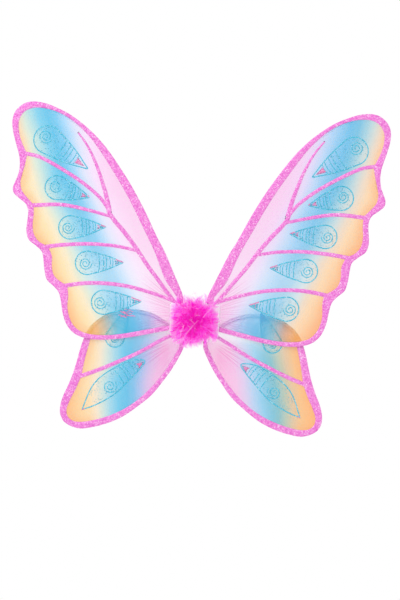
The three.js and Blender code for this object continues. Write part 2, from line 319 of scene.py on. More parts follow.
def glitter(name, tones, flake=0.7, clump=1.5):
    """Glued flakes in small clumps, from dark to bright, each flake facing its own way. The brightest,
    near-white flakes are painted glints.
    """
    g = Graph(name, Metallic=0.25, Coat_Weight=0.25, Coat_Roughness=0.2)
    place = g.place()
    clumps = g.add("SeparateColor", g.cells(place, clump))
    flakes = g.cells(place, flake)
    chance = g.add("SeparateColor", flakes)
    patches = g.spread(g.noise(place, 0.16, 3.0), 0, 1, -0.2, 0.2)
    pick = g.plus(g.plus(g.times(clumps, 0.5), g.times(chance, 0.5)), patches)
    # The last tone is painted light: near-white flakes that stand in for glints.
    dark, middle, light, painted_glint = tones
    stops = [(0.2, dark), (0.4, middle), (0.62, middle), (0.78, light), (0.93, painted_glint)]
    g.set("Base Color", g.ramp(pick, stops))
    g.set("Roughness", g.spread(chance.node.outputs[1], 0, 1, 0.22, 0.6))
    tilt = g.add("VectorMath", flakes, (0.5, 0.5, 0.5), operation="SUBTRACT")
    tilt = g.add("VectorMath", tilt, (0.7, 0.7, 0.7), operation="MULTIPLY")
    facing = g.add("NewGeometry", out="Normal")
    leaned = g.add("VectorMath", facing, tilt, operation="ADD")
    g.set("Normal", g.add("VectorMath", leaned, operation="NORMALIZE"))
    return g.material


def satin(name, pale, dark):
    """Smooth woven satin: long floats, a soft shine and small puckers."""
    g = Graph(name, Sheen_Weight=0.3, Sheen_Roughness=0.3, Specular_IOR_Level=0.6)
    floats = g.noise(g.place((0.25, 1, 5.0)), 1.3, 4.0)
    puckers = g.noise(g.place(), 0.22, 3.0)
    g.set("Base Color", g.mix(g.spread(floats, 0.3, 0.75), pale, dark))
    g.set("Roughness", g.spread(floats, 0.3, 0.7, 0.28, 0.46))
    g.bump(g.plus(floats, g.times(puckers, 3.0)), 0.25, 0.5)
    return g.material


def elastic():
    """Knitted elastic: lengthwise ribs are in the mesh, the cross threads are here."""
    g = Graph("elastic_knit", Sheen_Weight=0.2, Sheen_Roughness=0.5)
    threads = g.weave(0.62)
    fuzz = g.noise(g.place(), 3.0, 3.0)
    g.set("Base Color", g.mix(g.times(threads, fuzz), "E3E1E4", "FBFAFB"))
    g.set("Roughness", g.spread(fuzz, 0.3, 0.7, 0.6, 0.85))
    g.bump(g.plus(threads, fuzz), 0.14, 0.7)
    return g.material


def marabou():
    """Dyed down: deep in the puff and at the roots of its barbs, paler at their tips.

    The deep tone is partly the dye and partly painted shade, and the faint magenta glow is painted
    light.
    """
    # The magenta emission is painted light: a faint glow on the down, standing in for light scattered
    # through it.
    g = Graph("marabou_down", Roughness=0.6, Sheen_Weight=0.12, Sheen_Roughness=0.4,
              Emission_Color="EC00C8", Emission_Strength=0.3)
    # A random tone for each lock, plus the paleness towards the tips; the deeper tone inward and at
    # the barbs' roots is partly painted shade.
    shade = g.plus(g.times(g.attribute("feather"), 0.66), g.times(g.attribute("tip"), 0.54))
    stops = [(0.15, "CC00A8"), (0.4, "F000BE"), (0.58, "F00CD8"), (0.74, "F27CF0"), (0.9, "FFD8FC")]
    g.set("Base Color", g.ramp(shade, stops))
    return g.material


def quill():
    """The pale shaft of a feather."""
    g = Graph("marabou_quill", Roughness=0.4)
    tint = g.noise(g.place(), 0.15, 2.0)
    g.set("Base Color", g.mix(g.spread(tint, 0.35, 0.65), "FF9CEA", "FFDDF8"))
    return g.material


def grained(name, pale, dark, grain, share, rough, relief, **constants):
    """A plain colour that one fine noise tints, roughens and raises.

    grain is the noise's stretch, scale and detail, and share the part of it that tints.
    """
    stretch, scale, detail = grain
    g = Graph(name, **constants)
    marks = g.noise(g.place(stretch), scale, detail)
    g.set("Base Color", g.mix(g.spread(marks, *share), pale, dark))
    g.set("Roughness", g.spread(marks, 0.3, 0.7, *rough))
    g.bump(marks, *relief)
    return g.material


def hem_tape():
    """The fabric turned back over the wire: pale, and nearly as sheer as the rest."""
    g = Graph("hem_tape", Sheen_Weight=0.2, Sheen_Roughness=0.4, Roughness=0.5)
    threads = g.weave(ORGANZA_PITCH)
    mottled = g.noise(g.place(), 0.12, 4.0)
    g.set("Base Color", g.mix(g.spread(mottled, 0.35, 0.65), "FDEBF8", "FAD2EF"))
    g.set("Alpha", g.spread(threads, 0, 1, 0.06, 0.16))
    g.bump(g.plus(threads, g.times(mottled, 3.0)), 0.12, 0.6)
    return g.material


def make_materials():
    # Flake tones of each glitter: dark, middle, light, and last a near-white painted glint.
    pinks = ("D858C0", "EC7ED5", "F6A8E5", "FFE9FA")
    teals = ("1FA4C2", "3ABEDB", "74DAEC", "F0FDFF")
    dusky = ("D0669F", "E084BC", "EBA3D2", "FBDFF1")
    prints = {
        name: organza(f"{name}_organza", design, PINCH[name.split("_")[1]])
        for name, design in PRINTS.items()
    }
    threads = {
        name: grained(
            name, pale, dark, ((1, 1, 1), 2.6, 2), (0.35, 0.65), (0.45, 0.7), (0.1, 0.6),
            Sheen_Weight=0.3, Sheen_Roughness=0.4,
        )
        for name, pale, dark in (
            ("white_thread", "FFFFFF", "DCD6DE"), ("pink_thread", "F58AD8", "E263C4"),
        )
    }
    return {
        **prints,
        "hem": hem_tape(),
        "pink_glitter": glitter("pink_glitter", pinks),
        "teal_glitter": glitter("teal_glitter", teals, flake=0.6, clump=1.3),
        "dusky_glitter": glitter("dusky_glitter", dusky, flake=0.6, clump=1.3),
        "satin": satin("white_satin", "FCFAFB", "E9E4EA"),
        "felt": satin("core_felt", "F0279F", "C9107F"),
        "elastic": elastic(),
        "down": marabou(),
        "quill": quill(),
        "wire": grained(
            "coated_wire", "FCFBFC", "E9E4EA", ((1, 1, 0.4), 0.9, 5), (0.4, 0.7), (0.3, 0.5),
            (0.05, 0.5), Coat_Weight=0.3, Coat_Roughness=0.15,
        ),
        "crimp": grained(
            "crimped_sleeve", "D6D9DD", "B0B4BA", ((1, 1, 2.5), 1.6, 5), (0.3, 0.7), (0.18, 0.4),
            (0.05, 0.6), Metallic=1.0, Specular_IOR_Level=0.5,
        ),
        "card": grained(
            "pressed_card", "EFEBE0", "CFC9BA", ((1, 1, 0.4), 1.8, 6), (0.35, 0.65), (0.7, 0.95),
            (0.1, 0.6),
        ),
        **threads,
    }


# Meshes

def mesh_object(name, points, faces, material, values=None):
    """An object from points in millimetres; values are numbers kept at each point."""
    mesh = bpy.data.meshes.new(name)
    mesh.from_pydata((np.asarray(points, float) * MM).tolist(), [], [tuple(f) for f in faces])
    mesh.validate()
    mesh.update()
    mesh.shade_smooth()
    mesh.materials.append(material)
    for key, numbers in (values or {}).items():
        attribute = mesh.attributes.new(key, "FLOAT", "POINT")
        attribute.data.foreach_set("value", np.asarray(numbers, np.float32))
    piece = bpy.data.objects.new(name, mesh)
    bpy.context.scene.collection.objects.link(piece)
    return piece


class Batch:
    """Points, faces and per-face materials gathered into one mesh."""

    def __init__(self):
        self.points, self.faces, self.slots, self.count = [], [], [], 0

    def add(self, points, faces, slot=0):
        self.points.append(np.asarray(points, float))
        self.faces.extend((np.asarray(faces) + self.count).tolist())
        self.slots.extend([slot] * len(faces))
        self.count += len(points)

    def tube(self, rings, slot=0, closed=False):
        """A skin over rings of equal size, with flat ends unless the rings close up."""
        n, m = rings.shape[:2]
        self.add(rings.reshape(-1, 3), ring_faces(n, m, closed), slot)
        if not closed:
            first = self.count - n * m
            self.faces.append([first + k for k in reversed(range(m))])
            self.faces.append([first + (n - 1) * m + k for k in range(m)])
            self.slots.extend([slot] * 2)

    def build(self, name, *materials):
        piece = mesh_object(name, np.concatenate(self.points), self.faces, materials[0])
        for material in materials[1:]:
            piece.data.materials.append(material)
        piece.data.polygons.foreach_set("material_index", self.slots)
        return piece


def ring_faces(n, m, closed=False):
    a = np.arange((n if closed else n - 1) * m)
    row, k = a // m, a % m
    after = (row + 1) % n
    turned = (k + 1) % m
    return np.stack([row * m + k, row * m + turned, after * m + turned, after * m + k], 1)


def smoothstep(low, high, value):
    t = np.clip((value - low) / (high - low), 0, 1)
    return t * t * (3 - 2 * t)


def unit(vectors):
    return vectors / np.maximum(np.linalg.norm(vectors, axis=-1, keepdims=True), 1e-9)


def left_of(line):
    """Unit vectors square to a flat path, on its left."""
    along = unit(np.gradient(line, axis=0))
    return np.stack([-along[:, 1], along[:, 0]], 1)


def resample(points, step, closed=False):
    """Evenly spaced points on the Catmull-Rom curve through points of any dimension."""
    p = np.asarray(points, float)
    ends = (p[-1:], p[:2]) if closed else (2 * p[0] - p[1], 2 * p[-1] - p[-2])
    padded = np.vstack([ends[0], p, ends[1]])
    t = np.linspace(0, 1, 9)[:-1, None]
    fine = []
    for i in range(len(padded) - 3):
        a, b, c, d = padded[i:i + 4]
        fine.append(0.5 * (2 * b + (c - a) * t + (2 * a - 5 * b + 4 * c - d) * t ** 2
                           + (3 * b - a - 3 * c + d) * t ** 3))
    fine = np.vstack([*fine, padded[-2:-1]])
    lengths = np.concatenate([[0], np.cumsum(np.linalg.norm(np.diff(fine, axis=0), axis=1))])
    count = max(2, round(lengths[-1] / step) + 1)
    at = np.linspace(0, lengths[-1], count)
    even = np.stack([np.interp(at, lengths, column) for column in fine.T], 1)
    return even[:-1] if closed else even


def cad_mesh(node):
    """A CAD node's points in millimetres, and its triangles."""
    mesh = nodes[node].data
    co = np.array([v.co for v in mesh.vertices], float) / MM
    return co, np.array([p.vertices[:] for p in mesh.polygons])


def merged(co):
    """The distinct points, and which of them each given point is."""
    places = {}
    ids = np.array([places.setdefault(tuple(np.round(p, 3)), len(places)) for p in co])
    return np.array(list(places)), ids


def cap_loops(node, axis, sign=1):
    """The outlines of a CAD slab's lowest face along an axis, longest first, in millimetres."""
    co, tris = cad_mesh(node)
    flat = tris[(co[tris][:, :, axis] < co[:, axis].min() + 1e-2).all(1)]
    known, ids = merged(co[:, [k for k in range(3) if k != axis]])
    edges = {(a, b) for t in ids[flat] for a, b in zip(t, np.roll(t, -1))}
    following = {a: b for a, b in edges if (b, a) not in edges}
    loops = []
    while following:
        start, here = next(iter(following.items()))
        loop = [start]
        del following[start]
        while here != start:
            loop.append(here)
            here = following.pop(here)
        loops.append(known[loop] * [sign, 1])
    return sorted(loops, key=lambda loop: -len(loop))


def refine(loop, step, corner=38):
    """The loop as a smooth curve at the given step, keeping its sharp corners."""
    before, after = loop - np.roll(loop, 1, 0), np.roll(loop, -1, 0) - loop
    turn = np.einsum("ij,ij->i", unit(before), unit(after))
    corners = np.flatnonzero(turn < math.cos(math.radians(corner)))
    if len(corners) == 0:
        return resample(loop, step, closed=True)
    loop = np.roll(loop, -corners[0], 0)
    breaks = [*(corners - corners[0]), len(loop)]
    around = np.vstack([loop, loop[:1]])
    runs = [resample(around[a:b + 1], step)[:-1] for a, b in zip(breaks, breaks[1:])]
    return np.vstack(runs)


def inside(points, loops):
    """Which points lie in the region that the loops bound, holes left out."""
    x, z = points[:, 0][:, None], points[:, 1][:, None]
    crossings = np.zeros(len(points), int)
    for loop in loops:
        ax, az = loop[:, 0], loop[:, 1]
        bx, bz = np.roll(ax, -1), np.roll(az, -1)
        spans = (az > z) != (bz > z)
        rise = np.where(bz == az, 1, bz - az)
        crossings += (spans & (x < (bx - ax) * (z - az) / rise + ax)).sum(1)
    return crossings % 2 == 1


def distances(points, loops):
    """How far each point is from the nearest outline."""
    outline = np.vstack([resample(np.vstack([loop, loop[:1]]), 0.7) for loop in loops])
    tree = kdtree.KDTree(len(outline))
    for i, (x, z) in enumerate(outline):
        tree.insert((x, z, 0), i)
    tree.balance()
    return np.array([tree.find((x, z, 0))[2] for x, z in points])


def fill(loops, step):
    """Points and triangles that fill the region; the outline's own points come first."""
    edge = np.vstack(loops)
    low, high = edge.min(0), edge.max(0)
    rows = np.arange(low[1], high[1], step * math.sqrt(3) / 2)
    grid = np.array([
        (x + (0.5 * step if r % 2 else 0), z)
        for r, z in enumerate(rows) for x in np.arange(low[0], high[0], step)
    ])
    grid = grid[inside(grid, loops)]
    grid = grid[distances(grid, loops) > 0.55 * step]
    links, first = [], 0
    for loop in loops:
        n = len(loop)
        links += [(first + k, first + (k + 1) % n) for k in range(n)]
        first += n
    points = np.vstack([edge, grid])
    found = geometry.delaunay_2d_cdt([Vector(p) for p in points], links, [], 0, 1e-6)
    flat, tris = np.array([v[:] for v in found[0]]), np.array([f for f in found[2] if len(f) == 3])
    tris = tris[inside(flat[tris].mean(1), loops)]
    a, b, c = (flat[tris[:, k]] for k in range(3))
    turned = (b - a)[:, 0] * (c - a)[:, 1] - (b - a)[:, 1] * (c - a)[:, 0] < 0
    tris[turned] = tris[turned][:, ::-1]
    rim = np.zeros(len(flat), bool)
    rim[:len(edge)] = True
    return flat, tris, rim


def lens(points, tris, rim, front, back, side=1):
    """A closed body between two surfaces y = front and y = back that meet round its rim."""
    inner = np.flatnonzero(~rim)
    behind = np.arange(len(points))
    behind[inner] = len(points) + np.arange(len(inner))
    x, z = side * points[:, 0], points[:, 1]
    near = np.stack([x, front, z], 1)
    far = np.stack([x[inner], back[inner], z[inner]], 1)
    faces = np.vstack([tris, behind[tris][:, ::-1]])
    if side < 0:
        faces = faces[:, ::-1]
    return np.vstack([near, far]), faces


def box_mm(node):
    low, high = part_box(node)
    return np.array(low) / MM, np.array(high) / MM


# Wing layers

class Layer:
    """One wing's fabric: its outline, and how far the fabric stands from its flat plane."""

    def __init__(self, side_name, level):
        self.side, self.level = SIDES[side_name], level
        self.name = f"{side_name}_{level}"
        self.loop = refine(cap_loops(f"{self.name}_membrane", 1, self.side)[0], 2.2)
        low, high = box_mm(f"{self.name}_membrane")
        self.y = (low[1] + high[1]) / 2
        self.trim_back = box_mm(f"{self.name}_trim")[1][1]
        self.pinch = PINCH[level]
        self.seed = {"upper": 0.7, "lower": 2.1}[level]

    def folds(self, points):
        """Gathers that fan out from the centre: how strong they are, and the wave of them."""
        x, z = points[:, 0], points[:, 1]
        dx, dz = x - self.pinch[0], z - self.pinch[1]
        angle, reach = np.arctan2(dz, dx), np.hypot(dx, dz)
        fade = smoothstep(*GATHERS_END, reach + 9 * np.sin(7 * angle + self.seed))
        if self.level == "lower":
            fade = fade * smoothstep(-32, -42, z)
        bend = 0.5 * np.sin(0.05 * reach + 5 * angle)
        wave = np.sin(41 * angle + bend + self.seed) + 0.6 * np.sin(67 * angle - bend + 1.3)
        return fade, 0.5 + 0.31 * wave

    def relief(self, points):
        """How far forward the fabric stands: gathers, and a soft billow inside the hem."""
        x, z = points[:, 0], points[:, 1]
        fade, wave = self.folds(points)
        free = smoothstep(35.5, 42, x)  # further out than the panel
        gathers = fade * wave * (0.25 + 0.95 * free)
        away = smoothstep(9, 34, distances(points, [self.loop]))
        billow = 0.35 + 0.35 * np.sin(x / 17 + self.seed) * np.sin(z / 21 + 2 * self.seed)
        return gathers + away * billow * (0.3 if self.level == "lower" else 1.0)


def make_membrane(layer, looks):
    """The printed sheet, a closed skin as thin as organza."""
    points, tris, rim = fill([layer.loop], 3.0)
    relief = layer.relief(points)
    fade = layer.folds(points)[0]
    depth = np.where(rim, 0, MEMBRANE_T / 2)
    front = layer.y - relief - depth
    back = layer.y - relief + depth
    solid, faces = lens(points, tris, rim, front, back, layer.side)
    inner = np.flatnonzero(~rim)
    # Where the darker gather streaks go: partly denser cloth, partly painted shade in the folds.
    gather_density_and_shade = fade * smoothstep(30, 42, points[:, 0])
    border = smoothstep(24, 9, distances(points, [layer.loop]))
    values = {"gather_density_and_shade": gather_density_and_shade, "rim": border}
    values = {key: np.concatenate([v, v[inner]]) for key, v in values.items()}
    piece = mesh_object(f"{layer.name}_sheer", solid, faces, looks[layer.name], values)
    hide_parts(f"{layer.name}_membrane")
    return piece


def make_trim(layer, looks):
    """The raised glitter border and veins, rounded at their edges and uneven on top."""
    loops = [refine(loop, 1.2) for loop in cap_loops(f"{layer.name}_trim", 1, layer.side)]
    points, tris, rim = fill(loops, 1.25)
    x, z = points.T
    relief = layer.relief(points)
    inward = np.clip(distances(points, loops) / TRIM_SHOULDER, 0, 1)
    lumps = 0.06 * np.sin(1.9 * x + 0.7 * z) * np.sin(1.3 * z - 0.6 * x)
    lumps += 0.05 * np.sin(0.31 * (x + z))
    rise = (TRIM_RISE + lumps) * np.sqrt(1 - (1 - inward) ** 2)
    back = layer.trim_back - relief
    solid, faces = lens(points, tris, rim, back - np.where(rim, 0, rise), back, layer.side)
    piece = mesh_object(f"{layer.name}_glitter_trim", solid, faces, looks["pink_glitter"])
    piece.data.set_sharp_from_angle(angle=SHARP)
    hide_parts(f"{layer.name}_trim")
    return piece


def wire_line(layer):
    """The middle of the CAD wire, ring by ring, from its end in the ferrule."""
    co, tris = cad_mesh(f"{layer.name}_wire")
    known, ids = merged(co)
    links = {}
    for corners in ids[tris].tolist():
        for a in corners:
            links.setdefault(a, set()).update(corners)
    low, high = box_mm(f"{layer.name}_ferrule")
    end = (low + high) / 2 + [0, 0, 1]
    ring = set(np.argsort(np.linalg.norm(known - end, axis=1))[:6].tolist())
    seen, line = set(), []
    while ring:
        line.append(known[sorted(ring)].mean(0))
        seen |= ring
        ring = set().union(*(links[a] for a in ring)) - seen
    return np.array(line)


def make_hem(layer, looks):
    """The fabric turned back over the wire, tight round it, with a row of stitches."""
    line = wire_line(layer) * [layer.side, 1, 1]
    if layer.level == "upper":
        held = np.flatnonzero(line[:, 1] < line[:, 1].min() + 0.3)
        line = line[held[0]:held[-1] + 1]
    line = line[(line[:, 0] > HEM_FROM[0]) | (line[:, 2] < HEM_FROM[1])]
    line = resample(line, HEM_STEP)
    middle = line[:, [0, 2]]
    outward = left_of(middle)
    if np.einsum("ij,ij->i", outward, middle - middle.mean(0)).mean() < 0:
        outward = -outward
    relief = layer.relief(middle)
    face = layer.y + MEMBRANE_T / 2 + 0.02
    top = line[:, 1].mean() + WIRE_R + 0.12
    low, high = face + 0.3, top + 0.28
    section = [
        (-3.1, face), (-3.1, low), (-2.5, low + 0.1), (-1.9, low + 0.9), (-1.1, high - 0.3),
        (0, high), (1.1, high - 0.3), (1.9, low + 0.9), (3.2, low + 0.1), (4.3, low),
        (4.3, face), (2.0, face), (1.45, top - 0.7), (0, top), (-1.45, top - 0.7), (-2.0, face),
    ]
    puckers = 1 + 0.05 * np.sin(np.arange(len(line)) * 2.1)
    rings = np.array([
        [(*(p + o * u * pucker), y - r) for u, y in section]
        for p, o, pucker, r in zip(middle, outward, puckers, relief)
    ])
    rings = rings[:, :, [0, 2, 1]] * [layer.side, 1, 1]
    batch = Batch()
    batch.tube(rings)
    for i in range(2, len(line) - 2):
        a, b = (middle[j] + outward[j] * SEWN_LINE for j in (i, i + 1))
        b = a + (b - a) * 0.75
        lift = low + 0.12 - relief[i]
        add_stitch(batch, *((layer.side * x, lift, z) for x, z in (a, b)))
    piece = batch.build(f"{layer.name}_hem", looks["hem"], looks["pink_thread"])
    return piece


def add_stitch(batch, start, end):
    """One thread stitch: a short fat thread that dips into the cloth at both ends."""
    start, end = np.array(start), np.array(end)
    along = unit(end - start)
    across = unit(np.cross(along, [0.3, 0.2, 1.0]))
    up = np.cross(across, along)
    turns = np.arange(6) * math.pi / 3
    rings = []
    for t, size in ((0, 0.45), (0.2, 0.9), (0.5, 1.1), (0.8, 0.9), (1, 0.45)):
        centre = start + (end - start) * t
        circle = np.cos(turns)[:, None] * across + np.sin(turns)[:, None] * up
        rings.append(centre + STITCH["radius"] * size * circle)
    batch.tube(np.array(rings), slot=1)


# Motifs: raised teal lines round a spiral, with a small pink patch at the inner tip

def teardrop(tip, centre, radius):
    """From its point round the circle and back, its sides bowed slightly outward."""
    tip, centre = np.array(tip, float), np.array(centre, float)
    axis = centre - tip
    length = np.linalg.norm(axis)
    heading = math.atan2(axis[1], axis[0])
    open_half = math.acos(radius / length)
    turns = np.linspace(heading + math.pi - open_half, heading - math.pi + open_half, 26)
    arc = centre + radius * np.stack([np.cos(turns), np.sin(turns)], 1)
    sides = []
    for end, sign in ((arc[0], 1), (arc[-1], -1)):
        side = end - tip
        bow = 0.035 * sign * np.array([-side[1], side[0]])
        t = np.linspace(0, 1, 8)[:-1, None]
        sides.append(tip + side * t + bow * np.sin(math.pi * t))
    return np.vstack([sides[0], arc, sides[1][:0:-1]])


def spiral(centre, radius, start):
    t = np.linspace(0, 1, 34)[:, None]
    angle = start + 2 * math.pi * EYE_TURNS * t
    size = radius * (1 - 0.84 * t)
    return np.array(centre) + size * np.hstack([np.cos(angle), np.sin(angle)])


def raised_line(batch, layer, path, width, rise, closed=False, slot=0):
    """A rounded glitter line lying on the fabric along a flat path."""
    line = resample(path, 1.3, closed)
    before, after = np.roll(line, 1, 0), np.roll(line, -1, 0)
    if not closed:
        before[0], after[-1] = line[0], line[-1]
    along = unit(after - before)
    outward = np.stack([-along[:, 1], along[:, 0]], 1)
    ends = np.ones(len(line))
    if not closed:
        ends[[0, -1]] = 0.35
    face = layer.y - layer.relief(line) - MEMBRANE_T / 2
    section = ((-1, 0.02), (-0.75, 0.62), (0, 1), (0.75, 0.62), (1, 0.02), (0, -0.12))
    rings = np.array([
        [(*(p + o * u * e * width / 2), y - h * rise) for u, h in section]
        for p, o, e, y in zip(line, outward, ends, face)
    ])
    rings = rings[:, :, [0, 2, 1]] * [layer.side, 1, 1]
    if layer.side > 0:
        rings = rings[:, ::-1]
    batch.tube(rings, slot, closed)


def dots(batch, layer, outline, count, rng):
    """Loose glitter between the lines: small flat-backed grains."""
    low, high = outline.min(0), outline.max(0)
    places = rng.uniform(low, high, (count * 3, 2))
    places = places[inside(places, [outline])][:count]
    face = layer.y - layer.relief(places) - MEMBRANE_T / 2
    turns = np.arange(5) * 2 * math.pi / 5
    fan = np.array([(k, (k + 1) % 5, 5) for k in range(5)])[:, ::layer.side]
    base = np.arange(5)[::-layer.side]
    for (x, z), y, size in zip(places, face, rng.uniform(0.34, 0.72, len(places))):
        ring = [(x + size * math.cos(a), y - 0.04, z + size * math.sin(a)) for a in turns]
        grain = np.array([*ring, (x, y - 0.4 * size - 0.12, z)])
        batch.add(grain * [layer.side, 1, 1], fan)
        batch.faces.append((base + batch.count - len(grain)).tolist())
        batch.slots.append(0)


# Each drop's tip, the middle and radius of its round end and of its spiral, and its pink
# triangle: the gap from the tip, the length and the width
DROPS = {
    "upper": [
        ((168, 220), (229, 261), 21, (232, 266), 10.5, (6, 16.5, 10)),
        ((164, 177.5), (212.5, 190), 18, (215, 192), 9.5, (1.5, 11, 6.5)),
        ((138, 134), (190.5, 131.5), 17.5, (194, 131), 9.5, (1.5, 11, 6.5)),
        ((110, 82), (163.5, 79.5), 17.5, (166, 78.5), 9.5, (1.5, 11, 6.5)),
        ((81, 25), (137, 21.5), 18, (142, 21), 10, (1.5, 12, 7)),
    ],
    "lower": [((99, 14), (118, -31), 14, (118.5, -32), 7, (0.5, 15, 14))],
}
LEAF = [
    (72, -64), (88, -63), (105, -69), (125, -81), (142, -95), (153, -112), (163, -140),
    (147, -134), (130, -125), (113, -113), (95, -94), (80, -77),
]
LEAF_SPIRAL = ((123, -104), 10.5)
LEAF_TIP = (1.5, 12, 9)
# how wide each kind of line is, and how far it stands up
OUTLINE = {"width": 1.7, "rise": 0.5, "closed": True}
EYE = {"width": 1.4, "rise": 0.45}
RUNG = {"width": 1.3, "rise": 0.4}
EYE_TURNS = 2.1
TIP_RISE = 0.75
TIP_EDGE = 0.8


def motif_axes(tip, centre):
    """A motif's tip as an array, the way from it to the centre, and unit vectors both ways."""
    tip = np.array(tip, float)
    reach = np.array(centre) - tip
    along = unit(reach)
    return tip, reach, along, np.array([-along[1], along[0]])


def rungs(batch, layer, outline, tip, centre, shares):
    """Bars across a motif, from side to side, between its tip and its spiral."""
    tip, reach, along, across = motif_axes(tip, centre)
    offsets = np.arange(-30, 30.1, 0.5)[:, None]
    for share in shares:
        middle = tip + reach * share
        span = offsets[inside(middle + across * offsets, [outline])]
        if len(span) < 9:
            continue
        t = np.linspace(span[0, 0] + 0.8, span[-1, 0] - 0.8, 6)[:, None]
        bow = 1.2 * np.sin(math.pi * np.linspace(0, 1, 6))[:, None]
        raised_line(batch, layer, middle + across * t - along * bow, **RUNG)


def make_motifs(layer, looks):
    rng = np.random.default_rng(SEEDS[layer.level])
    batch = Batch()
    for tip, centre, radius, eye, eye_radius, triangle in DROPS[layer.level]:
        outline = teardrop(tip, centre, radius)
        raised_line(batch, layer, outline, **OUTLINE)
        start = math.atan2(tip[1] - centre[1], tip[0] - centre[0])
        raised_line(batch, layer, spiral(eye, eye_radius, start), **EYE)
        rungs(batch, layer, outline, tip, centre, (0.3, 0.37, 0.48, 0.56, 0.68))
        dots(batch, layer, outline, 130, rng)
        add_tip(batch, layer, tip, centre, *triangle)
    if layer.level == "lower":
        leaf = resample(LEAF[6:] + LEAF[:7], 2.0)[:-1]
        raised_line(batch, layer, leaf, **OUTLINE)
        raised_line(batch, layer, spiral(*LEAF_SPIRAL, start=2.4), **EYE)
        rungs(batch, layer, leaf, LEAF[0], LEAF_SPIRAL[0], (0.26, 0.34, 0.48, 0.56, 0.7))
        dots(batch, layer, leaf, 180, rng)
        add_tip(batch, layer, LEAF[0], LEAF_SPIRAL[0], *LEAF_TIP)
    if layer.name == "left_upper":
        add_transfer(batch, layer)
    piece = batch.build(f"{layer.name}_motifs", looks["teal_glitter"], looks["dusky_glitter"])
    return piece


def add_transfer(batch, layer):
    """Short stray dashes of pink glitter below the lowest motif of one wing."""
    rng = np.random.default_rng(SEEDS["dashes"])
    middle, spread = np.array([101.0, 6.5]), np.array([10.0, 6.0])
    for _ in range(22):
        start = middle + spread * rng.uniform(-1, 1, 2)
        length = rng.uniform(3, 7)
        reach = np.array([length, length * rng.uniform(-0.15, 0.3)])
        dash = [start - reach / 2, start + [0, 0.2], start + reach / 2]
        raised_line(batch, layer, dash, 1.2, 0.3, slot=1)


def add_tip(batch, layer, tip, centre, gap, length, width):
    """The solid pink triangle just inside a motif's point, its edges rounded."""
    tip, _, along, across = motif_axes(tip, centre)
    start = tip + along * gap
    base = start + along * length
    corners = [start, base + across * width / 2, base - along * 1.5, base - across * width / 2]
    loop = refine(np.array(corners), TIP_EDGE)
    points, tris, rim = fill([loop], 1.1)
    face = layer.y - layer.relief(points) - MEMBRANE_T / 2 - 0.02
    rise = TIP_RISE * np.clip(distances(points, [loop]) / TIP_EDGE, 0, 1)
    solid, faces = lens(points, tris, rim, face - rise, face + 0.03, layer.side)
    batch.add(solid, faces, slot=1)


def make_wings(looks):
    for side_name in SIDES:
        for level in ("upper", "lower"):
            layer = Layer(side_name, level)
            body = f"{side_name}_wing" if level == "upper" else f"{side_name}_lower_wing"
            sheet = make_membrane(layer, looks)
            parts = [make_trim(layer, looks), make_hem(layer, looks), make_motifs(layer, looks)]
            for piece in (sheet, *parts):
                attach(piece, body)


# Centre pieces

def rounded_rectangle(centre, half, inset, corner):
    """A closed loop in x and z, that far inside the box of those half sizes."""
    (cx, _, cz), (hx, _, hz) = centre, half - inset - corner
    loop = [
        (cx + sx * hx + corner * math.cos(a), cz + sz * hz + corner * math.sin(a))
        for k, (sx, sz) in enumerate(((1, 1), (-1, 1), (-1, -1), (1, -1)))
        for a in np.linspace(k, k + 1, 7) * math.pi / 2
    ]
    return resample([*loop, loop[0]], 1.2)[:-1]


def make_pad(name, node, looks, seam, crown, flat_back):
    """A thin padded plate of satin: a pinched rim, a sewn line inside it and a soft crown."""
    low, high = box_mm(node)
    half = (high - low) / 2
    centre = (low + high) / 2
    loop = rounded_rectangle(centre, half, 0.05, 3.5)
    points, tris, rim = fill([loop], 1.2)
    away = distances(points, [loop])
    x, z = points.T
    thickness = high[1] - low[1]
    edge = np.sqrt(1 - (1 - np.clip(away / 1.1, 0, 1)) ** 2)
    groove = np.exp(-((away - seam) / 0.55) ** 2)
    swell = smoothstep(seam, seam + 7, away)
    puckers = 0.08 * np.sin(2.1 * (x + z)) * np.exp(-((away - seam) / 1.6) ** 2)
    body = edge * (0.5 * thickness - 0.28 * groove + puckers)
    front = centre[1] - body - crown * swell
    if flat_back:
        back = np.where(rim, centre[1], high[1] - (1 - edge) * thickness / 2 - 0.2 * groove)
    else:
        back = centre[1] + body
    front = np.where(rim, centre[1], front)
    solid, faces = lens(points, tris, rim, front, back)
    batch = Batch()
    batch.add(solid, faces)
    sewn = rounded_rectangle(centre, half, seam, 2.2)
    around = resample(np.vstack([sewn, sewn[:1]]), STITCH["pitch"])[:-1]
    after = np.roll(around, -1, 0)
    ends = around + (after - around) * STITCH["length"] / STITCH["pitch"]
    levels = (low[1] + 0.1, high[1] - 0.02) if flat_back else (low[1] + 0.1,)
    for y in levels:
        for a, b in zip(around, ends):
            add_stitch(batch, (a[0], y, a[1]), (b[0], y, b[1]))
    piece = batch.build(name, looks["satin"], looks["white_thread"])
    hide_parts(node)
    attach(piece, "centre")


